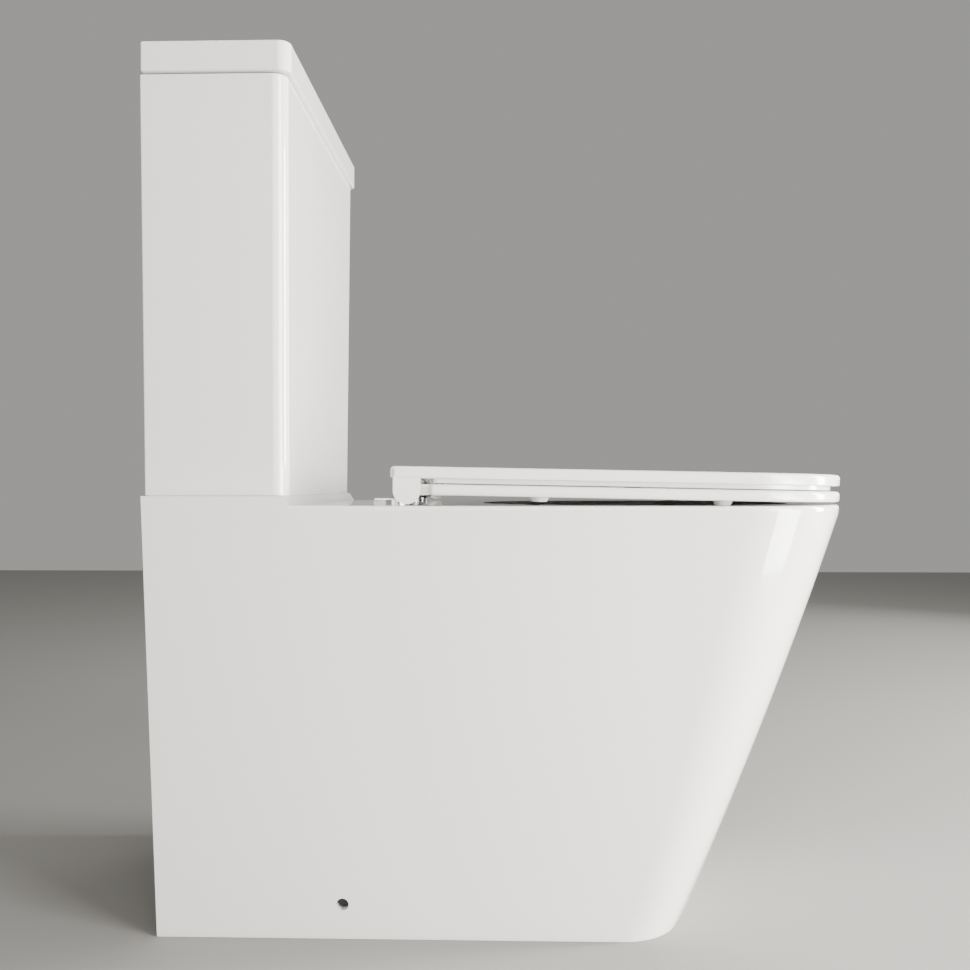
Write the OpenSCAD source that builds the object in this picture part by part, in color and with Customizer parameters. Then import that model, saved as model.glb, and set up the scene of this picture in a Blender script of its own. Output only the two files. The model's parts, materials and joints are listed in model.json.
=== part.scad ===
// Close coupled toilet: skirted pan, tapered cistern, soft-close seat and lid, dual flush.
// All sizes in millimetres. X runs across, -Y is the front, +Y is the wall, Z is up from the floor.
// Most places are given as a distance from the wall, turned into Y by at_wall().

/* [Overall] */
// Wall to the front of the seat
depth = 654; // [600:1:720]
// Width of the cistern lid, the widest piece
width = 380; // [340:1:420]
// Floor to the top of the cistern lid
lid_top_z = 812; // [740:1:860]
// Height of the pan's rim and deck
rim_z = 401.5; // [380:0.5:430]
// Height of the raised seat that the cistern stands on
plinth_z = 410; // [390:0.5:440]

/* [Pan] */
// Half width of the skirt at the floor
foot_half = 141.5; // [120:0.5:160]
// Half width of the skirt at the rim
rim_half = 183.5; // [170:0.5:200]
// Wall thickness of the china
china = 11; // [8:0.5:15]
// Wall to the front of the cistern seat
plinth_front = 128; // [110:1:150]
// Radius of the two side fixing holes
side_hole_r = 5.75; // [4:0.25:8]
// Outer radius of the outlet spigot
spigot_r = 51; // [45:0.5:55]
// Height of the outlet spigot's centre
spigot_z = 185; // [170:1:200]
// Wall to the end of the outlet spigot
spigot_d = 73; // [60:1:90]

/* [Cistern] */
// Half width of the cistern at the top
cistern_top_half = 186; // [170:0.5:200]
// Half width of the cistern at the bottom
cistern_foot_half = 173; // [150:0.5:190]
// Height of the cistern's open top
cistern_top_z = 784.3; // [700:0.1:820]
// Underside of the cistern lid's edge
lid_edge_z = 785.3; // [700:0.1:830]

/* [Seat] */
// Wall to the hinge axis
axis_d = 237; // [220:1:260]
// Height of the hinge axis
axis_z = 418.5; // [410:0.5:430]
// Forward fall of seat and lid, degrees
tilt = 1.07; // [0:0.01:3]
// Wall to the hinge posts
post_d = 214; // [200:1:225]
// Half the spacing of the hinge posts
post_x = 77.5; // [70:0.5:85]
// Half width of the seat
seat_half = 182; // [170:0.5:190]

/* [Flush] */
// Wall to the centre line of the valves
valve_d = 66; // [55:1:75]
// Sideways place of the fill valve
fill_x = 118; // [100:1:130]
// Sideways place of the close-coupling bolts
bolt_x = 78; // [65:1:85]
// Sideways place of the push rods
rod_x = 15; // [12:0.5:18]

/* [Node] */
// Which piece to draw

/* [Hidden] */
$fn = 96;
wall = depth / 2;
side_hole_d = 174;
side_hole_z = 33.6;
cistern_floor = 422;    // inside floor of the cistern
lid_plate = 800;        // underside of the lid's plate, inside its pocket
pin_r = 4;
run = 0.06;             // radial clearance of a part that turns or slides
seat_lo = -7.3;         // seat ring's underside, above the hinge axis
seat_hi = 2.6;
lid_lo = 7.6;           // lid edge's underside, above the hinge axis
lid_hi = 18.1;
white = [0.93, 0.93, 0.91];
plastic = [0.9, 0.9, 0.88];
chrome = [0.8, 0.81, 0.83];
rubber = [0.16, 0.16, 0.17];
steel = [0.62, 0.63, 0.65];

function at_wall(d) = wall - d;

// ---- outlines, as rings of points seen from above, anticlockwise ----

// Half of a D: a straight side, a corner arc and a flatter front arc, from back to front.
function half_d(w, r, rf, tip, back, cut, nc, nf) =
    let (al = asin((w - r) / (rf - r)), dc = tip - rf + (rf - r) * cos(al))
    concat([[w - cut, back], [w, back + cut]],
           [for (i = [0:nc]) let (t = (90 - al) * i / nc) [w - r + r * cos(t), dc + r * sin(t)]],
           [for (i = [1:nf - 1]) let (t = 90 - al + al * i / nf) [rf * cos(t), tip - rf + rf * sin(t)]]);

function ring_d(w, r, rf, tip, back, z, cut = 3, nc = 9, nf = 5) =
    let (h = half_d(w, r, rf, tip, back, cut, nc, nf), n = len(h))
    concat([for (p = h) [-p[0], at_wall(p[1]), z]], [[0, at_wall(tip), z]],
           [for (i = [n - 1:-1:0]) [h[i][0], at_wall(h[i][1]), z]]);

// An egg-like oval centred at distance c from the wall; e above 2 squares it off.
function ring_oval(c, a, b, z, e = 2.2, n = 40) =
    [for (i = [0:n - 1]) let (t = 360 * i / n, x = sin(t), y = cos(t))
        [-sign(x) * b * pow(abs(x), 2 / e), at_wall(c) + sign(y) * a * pow(abs(y), 2 / e), z]];

// A rectangle with rounded corners, larger ones at the front.
function ring_box(w, back, front, rb, rf, z, n = 4) =
    let (q = [[-w + rb, at_wall(back + rb), rb, 90], [-w + rf, at_wall(front - rf), rf, 180],
              [w - rf, at_wall(front - rf), rf, 270], [w - rb, at_wall(back + rb), rb, 0]])
    [for (c = q) for (i = [0:n]) let (t = c[3] + 90 * i / n) [c[0] + c[2] * cos(t), c[1] + c[2] * sin(t), z]];

// A closed skin through a stack of rings that all have the same number of points.
module loft(rings) {
    n = len(rings[0]);
    m = len(rings);
    polyhedron(
        points = [for (r = rings) for (p = r) p],
        faces = concat(
            [[for (i = [0:n - 1]) i]], [[for (i = [0:n - 1]) m * n - 1 - i]],
            [for (k = [0:m - 2]) for (i = [0:n - 1])
                [k * n + i, (k + 1) * n + i, (k + 1) * n + (i + 1) % n]],
            [for (k = [0:m - 2]) for (i = [0:n - 1])
                [k * n + i, (k + 1) * n + (i + 1) % n, k * n + (i + 1) % n]]),
        convexity = 8);
}

module flat(pts, z0, z1) translate([0, 0, z0]) linear_extrude(z1 - z0) polygon([for (p = pts) [p[0], p[1]]]);

module post(x, d, z0, z1, r) translate([x, at_wall(d), z0]) cylinder(h = z1 - z0, r = r);

module tube(x, d, z0, z1, ro, ri) difference() {
    post(x, d, z0, z1, ro);
    post(x, d, z0 - 1, z1 + 1, ri);
}

module block(x0, x1, d0, d1, z0, z1) translate([x0, at_wall(d1), z0]) cube([x1 - x0, d1 - d0, z1 - z0]);

// A rod from one (distance, height) point to another in the middle plane.
module run_pipe(a, b, r) {
    v = [0, a[0] - b[0], b[1] - a[1]];
    translate([0, at_wall(a[0]), a[1]]) rotate([-atan2(v[1], v[2]), 0, 0]) cylinder(h = norm(v), r = r);
}

// ---- the hinge's own frame: origin on the axis, tipped with the seat ----
module on_seat() translate([0, at_wall(axis_d), axis_z]) rotate([tilt, 0, 0])
    translate([0, -at_wall(axis_d), 0]) children();

module barrel(x0, x1, r) translate([x0, at_wall(axis_d), 0]) rotate([0, 90, 0]) cylinder(h = x1 - x0, r = r);

module both() for (s = [0, 1]) mirror([s, 0, 0]) children();

// ---- pan ----
function skirt_ring(z, e = 0, back = 0) =
    let (t = z / rim_z)
    ring_d(foot_half + (rim_half - foot_half) * t - e, 58 + 52 * t - e, 245 + 155 * t - e,
           min(508 + 0.4162 * z - 0.00012 * z * z, 653.5) - e, back, z);

// The bowl's inside: height, middle, half length, half width, squareness.
bowl = [[402, 455, 155, 140], [385, 454, 154, 139], [340, 446, 144, 129], [300, 430, 124, 112],
        [260, 410, 99, 90], [220, 390, 74, 68], [180, 374, 56, 53], [130, 362, 45, 43],
        [90, 358, 36, 35], [74, 357, 22, 22]];
// The trap's centre line, as distance from the wall and height.
trap = [[348, 108], [300, 108], [275, 120], [256, 148], [243, 185], [226, 218], [198, 236], [170, 226],
        [148, 204], [128, 190], [108, 185.5]];
trap_r = 36;

// A round ring across the centre line at point i.
function trap_ring(i, r, n = 24) =
    let (a = trap[max(i - 1, 0)], b = trap[min(i + 1, len(trap) - 1)], v = [a[0] - b[0], b[1] - a[1]] / norm(a - b))
    [for (j = [0:n - 1]) let (u = 360 * (j + 0.5) / n)
        [r * cos(u), at_wall(trap[i][0]) + r * sin(u) * v[1], trap[i][1] - r * sin(u) * v[0]]];

module trapway(r, first, last) loft([for (i = [first:last]) trap_ring(i, r)]);

// What is cut from the full-height skirt in front of the cistern seat, leaving the rim and a slope.
module front_cut() translate([-300, 0, 0]) rotate([90, 0, 90]) linear_extrude(600)
    polygon([[at_wall(plinth_front) + 3, plinth_z + 5], [at_wall(plinth_front), plinth_z],
             [at_wall(plinth_front + 5), rim_z], [-400, rim_z], [-400, plinth_z + 5]]);

module pan_shell() difference() {
    loft([skirt_ring(0, 3), for (z = [4, 60, 130, 200, 270, 330, 390]) skirt_ring(z), skirt_ring(plinth_z - 3),
          skirt_ring(plinth_z, 3)]);
    front_cut();
    loft([for (z = [-1, 130, 260, 386]) skirt_ring(z, china, -9)]);
    block(-165, 165, -1, 116, 380, 397);
}

module pan() color(white) difference() {
    union() {
        pan_shell();
        loft([for (k = [len(bowl) - 1:-1:1]) let (b = bowl[k])
                 ring_oval(b[1], b[2] + 10, b[3] + 10, k == 1 ? 390 : b[0] - (k > 7 ? 8 : 0))]);
        trapway(trap_r + 9, 0, len(trap) - 2);
        run_pipe([spigot_d, spigot_z], [113, spigot_z], spigot_r);
        run_pipe([113, spigot_z], [143, spigot_z], spigot_r + 6);
        block(-52, 52, 22, 300, 306, 399);
    }
    loft([for (i = [len(bowl) - 1:-1:0]) let (b = bowl[i]) ring_oval(b[1], b[2], b[3], b[0])]);
    trapway(trap_r, 0, len(trap) - 1);
    run_pipe([spigot_d - 1, spigot_z], [126, spigot_z], trap_r + 4);
    block(-42, 42, 32, 114, 318, 396);
    block(-42, 42, 110, 286, 318, 387);
    block(-34, 34, 280, 322, 320, 350);
    post(0, valve_d, 390, 402, 38);
    post(0, valve_d, 402, 411, 46);
    both() {
        post(bolt_x, valve_d, 390, 411, 6);
        post(fill_x, valve_d, 390, 411, 22);
        post(post_x, post_d, 380, 403, 8);
        translate([100, at_wall(side_hole_d), side_hole_z]) rotate([0, 90, 0]) cylinder(h = 60, r = side_hole_r);
    }
}

// ---- cistern ----
function tank_ring(z, e = 0) =
    let (t = (z - plinth_z) / (cistern_top_z - plinth_z))
    ring_box(cistern_foot_half + (cistern_top_half - cistern_foot_half) * t - e, max(e, 0), 128.5 + 2 * t - e,
             max(6 - e, 1), max(14 - e, 2), z, 5);

module cistern() color(white) difference() {
    loft([tank_ring(plinth_z, 4), tank_ring(plinth_z + 1.5, 1.5), tank_ring(plinth_z + 5), tank_ring(cistern_top_z - 3),
          tank_ring(cistern_top_z, 1.5)]);
    loft([tank_ring(cistern_floor, 13), tank_ring(cistern_floor + 8, 10), tank_ring(cistern_top_z + 1, 9)]);
    post(0, valve_d, 400, 430, 31);
    both() post(bolt_x, valve_d, 400, 430, 6);
    post(fill_x, valve_d, 400, 430, 11.5);
}

function lid_ring(e, z, back = 2, front = 134.4) = ring_box(width / 2 - e, back + e, front - e, 8 - min(e, 6), 14 - min(e, 10), z, 5);

module cistern_lid() color(white) difference() {
    union() {
        loft([lid_ring(1.2, lid_edge_z), lid_ring(0, lid_edge_z + 1.5), lid_ring(0, lid_top_z - 4),
              lid_ring(1.2, lid_top_z - 1.2), lid_ring(4, lid_top_z)]);
        flat(ring_box(173, 15, 115, 4, 6, 0), lid_edge_z - 7, lid_edge_z + 2);
    }
    flat(ring_box(166, 22, 108, 4, 6, 0), lid_edge_z - 8, lid_plate);
    post(0, valve_d, 790, 820, 26);
}

module lid_pads() color(rubber) both() for (d = [3.5, 121]) block(120, 150, d, d + 5, cistern_top_z, lid_edge_z);

// ---- seat and lid ----
seat_out = [for (p = ring_d(seat_half, 108, 398, depth, axis_d + 19, 0, 8, 12, 7)) [p[0], p[1]]];
function lid_out(e, back = axis_d - 15) =
    [for (p = ring_d(seat_half - e, 108 - e, 398 - e, depth - e, back + e, 0, 4, 12, 7)) [p[0], p[1]]];

module seat_ring() color(plastic) on_seat() difference() {
    union() {
        flat(seat_out, seat_lo, seat_hi);
        both() {
            block(100, 172, axis_d, axis_d + 22, seat_lo, seat_hi);
            barrel(100, 172, 9.5);
        }
    }
    flat(ring_oval(452, 132, 110, 0, 2.2, 48), seat_lo - 1, seat_hi + 1);
    both() barrel(99, 173, pin_r + run);
    barrel(120, 165, 7.5);
}

module seat_lid() color(plastic) on_seat() difference() {
    union() {
        flat(lid_out(0), lid_lo, lid_hi - 3);
        loft([for (q = [[0, lid_hi - 3], [1, lid_hi - 1], [3.5, lid_hi]])
            [for (p = lid_out(q[0])) [p[0], p[1], q[1]]]]);
        both() {
            block(173.5, 181.5, axis_d - 12.1, axis_d + 12.1, -3.4, lid_lo + 1);
            translate([173.5, at_wall(axis_d), -3.4]) rotate([0, 90, 0]) cylinder(h = 8, r = 12.1);
            barrel(32, 56, 9.5);
        }
    }
    both() {
        block(57, 98, axis_d - 20, axis_d + 14, -20, 30);
        barrel(97, 173.2, 10.4);
        barrel(30, 179, pin_r + run);
    }
    barrel(-54.2, -34, 7.5);
    flat(lid_out(8, axis_d + 22), -1, lid_lo + 6);
}

module lid_underpanel() color(plastic) on_seat() flat(lid_out(8.3, axis_d + 22), seat_hi + 0.8, lid_lo + 5.8);

module seat_buffers() color(white) both() {
    on_seat() for (d = [355, 519]) intersection() {
        translate([164 - (d > 400 ? 3 : 0), at_wall(d), seat_lo - (d > 400 ? 4.25 : 4)])
            cylinder(h = d > 400 ? 4.25 : 4, r1 = 7, r2 = 9);
        cube([2000, 2000, 200], center = true);
    }
}

module lid_buffers() color(rubber) on_seat() both() translate([146, at_wall(440), seat_hi]) cylinder(h = 0.8, r = 7);

// ---- seat fixings ----
module hinge_discs() color(chrome) both() difference() {
    union() {
        post(post_x, post_d, rim_z, 405.5, 20);
        translate([post_x, at_wall(post_d), 405.5]) cylinder(h = 1.5, r1 = 20, r2 = 18.5);
    }
    post(post_x, post_d, 400, 406, pin_r + 0.1);
}

module hinge_blocks() color(chrome) both() difference() {
    union() {
        block(post_x - 12.5, post_x + 12.5, axis_d - 14.2, axis_d, 407, 424);
        translate([0, 0, axis_z]) barrel(post_x - 12.5, post_x + 12.5, 9.5);
    }
    translate([0, 0, axis_z]) barrel(post_x - 14, post_x + 14, pin_r + 0.02);
}

module hinge_pins() color(steel) both() translate([0, 0, axis_z]) barrel(31, 178.5, pin_r);

module damper(x0, x1) color(steel) on_seat() difference() {
    barrel(x0, x1, 7.44);
    barrel(x0 - 1, x1 + 1, pin_r + run);
}

module seat_damper() damper(120.2, 164.8);

module lid_damper() damper(-54, -34.2);

module seat_bolts() color(steel) both() post(post_x, post_d, 352, 405.8, pin_r);

module seat_bolt_bushes() color(rubber) both() {
    tube(post_x, post_d, 386, rim_z, 7.9, pin_r + 0.1);
    tube(post_x, post_d, 383, 386, 11, pin_r + 0.1);
}

module seat_bolt_nuts() color(plastic) both() difference() {
    union() {
        post(post_x, post_d, 380.5, 383, 12);
        post(post_x, post_d, 370, 380.5, 8);
    }
    post(post_x, post_d, 360, 390, pin_r + 0.1);
}

// ---- cistern fixings ----
module doughnut_washer() color(rubber) tube(0, valve_d, 391, 403, 37.6, 30.3);

module cistern_bolts() color(steel) both() {
    post(bolt_x, valve_d, 366, 426, pin_r);
    translate([bolt_x, at_wall(valve_d), 425]) cylinder(h = 5.5, r = 8.6, $fn = 6);
}

module cistern_bolt_seals() color(rubber) both() tube(bolt_x, valve_d, cistern_floor, 425, 13, pin_r + 0.1);

module cistern_bolt_washers() color(steel) both() tube(bolt_x, valve_d, 395.4, 397, 12, pin_r + 0.2);

module cistern_wing_nuts() color(steel) both() difference() {
    union() {
        post(bolt_x, valve_d, 386.4, 395.4, 8);
        block(bolt_x - 18, bolt_x + 18, valve_d - 1.5, valve_d + 1.5, 386.4, 393);
    }
    post(bolt_x, valve_d, 380, 400, pin_r + 0.1);
}

// ---- flush valve ----
module flush_valve_seal() color(rubber) tube(0, valve_d, cistern_floor, 425, 42, 30.1);

module flush_valve_backnut() color(plastic) difference() {
    post(0, valve_d, 403, plinth_z, 43);
    post(0, valve_d, 402, 411, 30.1);
    for (i = [0:11]) translate([0, at_wall(valve_d), 402]) rotate(30 * i) translate([43, 0, 0]) cylinder(h = 9, r = 3);
}

module flush_valve_base() color(plastic) difference() {
    union() {
        post(0, valve_d, 386, 426, 30);
        post(0, valve_d, 425, 430, 44);
        post(0, valve_d, 430, 434, 30);
        tube(0, valve_d, 429, 500, 41, 38);
        tube(0, valve_d, 496, 500, 41, 33.5);
    }
    post(0, valve_d, 380, 440, 25.5);
    for (a = [0:90:270]) translate([0, at_wall(valve_d), 434]) rotate(45 + a) translate([30, -14, 0]) cube([20, 28, 48]);
}

module flush_valve_tower() color([0.55, 0.72, 0.85]) difference() {
    union() {
        tube(0, valve_d, 500, 644, 36, 33.5);
        post(0, valve_d, 640, 648, 36);
        tube(0, valve_d, 500, 504, 41, 33.5);
    }
    post(0, valve_d, 634, 654, 16 + run);
    for (a = [0:90:270]) translate([0, at_wall(valve_d), 520]) rotate(45 + a) translate([25, -11, 0]) cube([20, 22, 105]);
}

module overflow_tube() color(plastic) difference() {
    union() {
        post(0, valve_d, 437, 664, 16);
        post(0, valve_d, 437, 442, 32);
    }
    post(0, valve_d, 436, 665, 13.5);
}

module flush_seal() color([0.75, 0.25, 0.2]) tube(0, valve_d, 434, 437, 31, 16.05);

module flush_float() color([0.9, 0.9, 0.86]) tube(0, valve_d, 555, 605, 31, 16.05);

// ---- fill valve ----
module fill_valve_body() color(plastic) difference() {
    union() {
        post(fill_x, valve_d, 372, 400.5, 10.48);
        post(fill_x, valve_d, 400.5, 426, 10.3);
        post(fill_x, valve_d, 424, 428, 17);
        post(fill_x, valve_d, 428, 690, 14);
    }
    post(fill_x, valve_d, 370, 680, 6);
}

lever_x = fill_x + 12;
lever_z = 733.5;
refill_z = 698;         // height of the refill tube

module fill_valve_cap() color([0.3, 0.45, 0.65]) difference() {
    union() {
        post(fill_x, valve_d, 690, 722, 19);
        post(fill_x, valve_d, 722, 728, 12);
        translate([fill_x - 28, at_wall(valve_d + 8), refill_z]) rotate([0, 90, 0]) cylinder(h = 14, r = 3);
        for (d = [-6, 3]) block(lever_x - 4, lever_x + 4, valve_d + d, valve_d + d + 3, 721, 739);
    }
    translate([lever_x, at_wall(valve_d - 8), lever_z]) rotate([90, 0, 0]) cylinder(h = 16, r = 1.8 + run);
}

module fill_valve_washer() color(rubber) tube(fill_x, valve_d, cistern_floor, 424, 17, 10.4);

module fill_valve_backnut() color(plastic) difference() {
    translate([fill_x, at_wall(valve_d), 402]) cylinder(h = 8, r = 17, $fn = 6);
    post(fill_x, valve_d, 400, 412, 10.4);
}

module fill_valve_float() color([0.85, 0.85, 0.82]) {
    tube(fill_x, valve_d, 590, 660, 29, 14 + run);
    post(fill_x - 24, valve_d, 660, 729.5, 1.5);
}

module fill_valve_lever() color([0.9, 0.55, 0.2]) {
    block(fill_x - 28, lever_x, valve_d - 2.5, valve_d + 2.5, lever_z - 2.5, lever_z + 1.5);
    translate([lever_x, at_wall(valve_d - 2.5), lever_z]) rotate([90, 0, 0]) cylinder(h = 5, r = 4);
    translate([lever_x, at_wall(valve_d - 6.5), lever_z]) rotate([90, 0, 0]) cylinder(h = 13, r = 1.8);
}

// From the valve head across to the mouth of the overflow, ending in a spout that points down.
module refill_tube() color([0.8, 0.82, 0.8]) translate([0, at_wall(valve_d + 8), refill_z]) difference() {
    union() {
        translate([5, 0, 0]) rotate([0, 90, 0]) cylinder(h = fill_x - 5 - 19.2, r = 4.4);
        translate([5, 0, -3]) sphere(r = 5.4);
    }
    translate([fill_x - 30, 0, 0]) rotate([0, 90, 0]) cylinder(h = 14, r = 3.02);
    translate([5, 0, 0]) rotate([0, 90, 0]) cylinder(h = 100, r = 2.4);
    translate([5, 0, -12]) cylinder(h = 12, r = 2.4);
}

// ---- buttons ----
split = 3;              // where the round button divides, towards the half flush
button_r = 22.44;

module button_bezel() color(chrome) translate([0, at_wall(valve_d), lid_top_z]) rotate_extrude()
    polygon([[22.7, 0], [35, 0], [35, 0.8], [33.5, 2], [24, 2.5], [22.7, 2]]);

module button_housing() color(plastic) difference() {
    post(0, valve_d, 770, lid_top_z, 25);
    post(0, valve_d, 773, lid_top_z + 1, 22.5);
    for (a = [0, 180]) translate([0, at_wall(valve_d), 0]) rotate(a) translate([-4, 20, 776]) cube([8, 8, 10]);
    both() post(rod_x, valve_d, 760, 780, 3 + run);
}

module button_nut() color(plastic) difference() {
    post(0, valve_d, 793, lid_plate, 35);
    post(0, valve_d, 790, 802, 25.1);
    for (i = [0:7]) translate([0, at_wall(valve_d), 790]) rotate(45 * i) translate([35, 0, 0]) cylinder(h = 12, r = 4);
}

module button_part(x0, x1) color(chrome) intersection() {
    union() {
        post(0, valve_d, 803, lid_top_z + 0.5, button_r);
        translate([0, at_wall(valve_d), lid_top_z + 0.5]) cylinder(h = 1, r1 = button_r, r2 = button_r - 1);
    }
    block(x0, x1, 0, 133, 800, 820);
}

module full_flush_button() button_part(-30, split);

module half_flush_button() button_part(split + 0.8, 30);

module push_rod(s) color(plastic) translate([s * rod_x, 0, 0]) {
    post(0, valve_d, 718, 803, 3);
    post(0, valve_d, 716, 720, 5);
}

module full_flush_rod() push_rod(-1);

module half_flush_rod() push_rod(1);

// A round wire wound into a helix.
module coil(x, z0, z1, r, wire, turns, n = 14, k = 6) {
    steps = n * turns;
    translate([x, at_wall(valve_d), 0]) polyhedron(
        points = [for (i = [0:steps]) for (j = [0:k - 1])
            let (t = 360 * i / n, u = 360 * j / k, q = r + wire * cos(u))
            [q * cos(t), q * sin(t), z0 + wire + (z1 - z0 - 2 * wire) * i / steps + wire * sin(u)]],
        faces = concat([[for (j = [0:k - 1]) k - 1 - j]], [[for (j = [0:k - 1]) steps * k + j]],
            [for (i = [0:steps - 1]) for (j = [0:k - 1])
                [i * k + j, i * k + (j + 1) % k, (i + 1) * k + (j + 1) % k]],
            [for (i = [0:steps - 1]) for (j = [0:k - 1])
                [i * k + j, (i + 1) * k + (j + 1) % k, (i + 1) * k + j]]),
        convexity = 10);
}

module full_flush_spring() color(steel) coil(-rod_x, 773.4, 802.9, 4.6, 0.5, 7);

module half_flush_spring() color(steel) coil(rod_x, 773.4, 802.9, 4.6, 0.5, 7);

// ---- floor fixings ----
module floor_brackets() color([0.08, 0.08, 0.09]) both() difference() {
    union() {
        block(92, 128, side_hole_d - 20, side_hole_d + 20, 0, 3);
        block(125, 128, side_hole_d - 12, side_hole_d + 12, 0, 46);
    }
    post(108, side_hole_d, -1, 5, 4.5);
    translate([120, at_wall(side_hole_d), side_hole_z]) rotate([0, 90, 0]) cylinder(h = 12, r = 2.55);
}

module side_screws() color([0.08, 0.08, 0.09]) both() translate([0, at_wall(side_hole_d), side_hole_z]) rotate([0, 90, 0]) {
    translate([0, 0, 116]) cylinder(h = 18, r = 2.5);
    translate([0, 0, 133.5]) cylinder(h = 3, r = 5);
}

// ---- drawing ----
pan();
cistern();
cistern_lid();
lid_pads();
seat_ring();
seat_lid();
lid_underpanel();
seat_buffers();
lid_buffers();
hinge_discs();
hinge_blocks();
hinge_pins();
seat_damper();
lid_damper();
seat_bolts();
seat_bolt_bushes();
seat_bolt_nuts();
doughnut_washer();
cistern_bolts();
cistern_bolt_seals();
cistern_bolt_washers();
cistern_wing_nuts();
flush_valve_seal();
flush_valve_backnut();
flush_valve_base();
flush_valve_tower();
overflow_tube();
flush_seal();
flush_float();
fill_valve_body();
fill_valve_cap();
fill_valve_washer();
fill_valve_backnut();
fill_valve_float();
fill_valve_lever();
refill_tube();
button_bezel();
button_housing();
button_nut();
full_flush_button();
half_flush_button();
full_flush_rod();
half_flush_rod();
full_flush_spring();
half_flush_spring();
floor_brackets();
side_screws();
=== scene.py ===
"""A close coupled toilet: skirted pan, tapered cistern, soft-close seat and lid, dual flush."""

import json
import logging
import math
from dataclasses import dataclass
from enum import Enum
from typing import Callable, Iterable, Iterator, Sequence

import bpy
from mathutils import Matrix, Vector


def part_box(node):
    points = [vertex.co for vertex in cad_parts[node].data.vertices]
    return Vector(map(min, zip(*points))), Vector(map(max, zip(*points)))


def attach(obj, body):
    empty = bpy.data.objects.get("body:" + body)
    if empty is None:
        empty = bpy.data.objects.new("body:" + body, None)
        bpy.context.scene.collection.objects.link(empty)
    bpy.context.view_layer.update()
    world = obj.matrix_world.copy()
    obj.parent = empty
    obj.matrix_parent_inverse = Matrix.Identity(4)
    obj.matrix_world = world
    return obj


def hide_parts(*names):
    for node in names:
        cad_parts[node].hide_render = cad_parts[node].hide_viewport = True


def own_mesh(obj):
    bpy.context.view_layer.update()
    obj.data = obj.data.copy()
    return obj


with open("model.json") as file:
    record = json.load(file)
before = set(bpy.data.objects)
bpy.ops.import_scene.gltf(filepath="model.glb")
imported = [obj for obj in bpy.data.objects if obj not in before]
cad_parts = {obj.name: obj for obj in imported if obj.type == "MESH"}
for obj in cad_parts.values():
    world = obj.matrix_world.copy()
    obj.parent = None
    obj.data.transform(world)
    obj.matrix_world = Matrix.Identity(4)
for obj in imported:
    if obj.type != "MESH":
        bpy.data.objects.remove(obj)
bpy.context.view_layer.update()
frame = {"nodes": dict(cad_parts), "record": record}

log = logging.getLogger("toilet")
MM = 0.001
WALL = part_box("pan")[1].y
Ring = list[Vector]
Test = Callable[[Vector, Vector], bool]
Value = float | Vector


class Slot(str, Enum):
    """The record's material slots."""

    CHINA = "china"
    SEAT = "seat_plastic"
    WHITE = "white_plastic"
    RUBBER = "black_rubber"
    SILICONE = "red_silicone"
    CHROME = "chromed"
    STEEL = "steel"
    DAMPER = "damper_grey"
    BLUE = "blue_plastic"
    ORANGE = "orange_plastic"
    HOSE = "hose"
    BLACK = "black_steel"


class Pick(str, Enum):
    """What is picked in edit mode."""

    EDGE = "EDGE"
    FACE = "FACE"


class Join(str, Enum):
    """How a tool meets a piece."""

    ADD = "UNION"
    CUT = "DIFFERENCE"


@dataclass(frozen=True)
class Fixings:
    """Where the pieces are bolted together, in millimetres from the middle, the wall and the floor."""

    valve_d: float = 66.0
    bolt_x: float = 78.0
    bolt_r: float = 6.0
    fill_x: float = 118.0
    hinge_x: float = 77.5
    hinge_d: float = 214.0
    hinge_r: float = 8.0
    side_d: float = 174.0
    side_z: float = 33.6
    side_r: float = 5.75


FIX = Fixings()


# ---------------------------------------------------------------- finishes


def group_io(tree: bpy.types.NodeTree, inputs: dict[str, float], outputs: Sequence[tuple[str, str]]) -> tuple:
    """Gives a node group its sockets.

    Args:
        tree: The group's tree.
        inputs: Float inputs and their usual values.
        outputs: Names and socket types.

    Returns:
        The group's input and output nodes.
    """
    for name, value in inputs.items():
        tree.interface.new_socket(name, in_out="INPUT", socket_type="NodeSocketFloat").default_value = value
    for name, kind in outputs:
        tree.interface.new_socket(name, in_out="OUTPUT", socket_type=kind)
    return tree.nodes.new("NodeGroupInput"), tree.nodes.new("NodeGroupOutput")


def uneven_group() -> bpy.types.NodeTree:
    """A slow unevenness with a fine grain in it, as a height and a mask.

    Returns:
        The node group, built once.
    """
    found = bpy.data.node_groups.get("surface_unevenness")
    if found:
        return found
    tree = bpy.data.node_groups.new("surface_unevenness", "ShaderNodeTree")
    gin, gout = group_io(
        tree, {"Slow Scale": 9.0, "Fine Scale": 220.0, "Fine Share": 0.15},
        [("Height", "NodeSocketFloat"), ("Mask", "NodeSocketFloat")],
    )
    place = tree.nodes.new("ShaderNodeTexCoord")
    slow, fine = tree.nodes.new("ShaderNodeTexNoise"), tree.nodes.new("ShaderNodeTexNoise")
    slow.inputs["Detail"].default_value = 2.0
    fine.inputs["Detail"].default_value = 3.0
    mix = tree.nodes.new("ShaderNodeMix")
    tree.links.new(place.outputs["Object"], slow.inputs["Vector"])
    tree.links.new(place.outputs["Object"], fine.inputs["Vector"])
    tree.links.new(gin.outputs["Slow Scale"], slow.inputs["Scale"])
    tree.links.new(gin.outputs["Fine Scale"], fine.inputs["Scale"])
    tree.links.new(gin.outputs["Fine Share"], mix.inputs["Factor"])
    tree.links.new(slow.outputs["Fac"], mix.inputs["A"])
    tree.links.new(fine.outputs["Fac"], mix.inputs["B"])
    tree.links.new(mix.outputs["Result"], gout.inputs["Height"])
    tree.links.new(slow.outputs["Fac"], gout.inputs["Mask"])
    return tree


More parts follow.
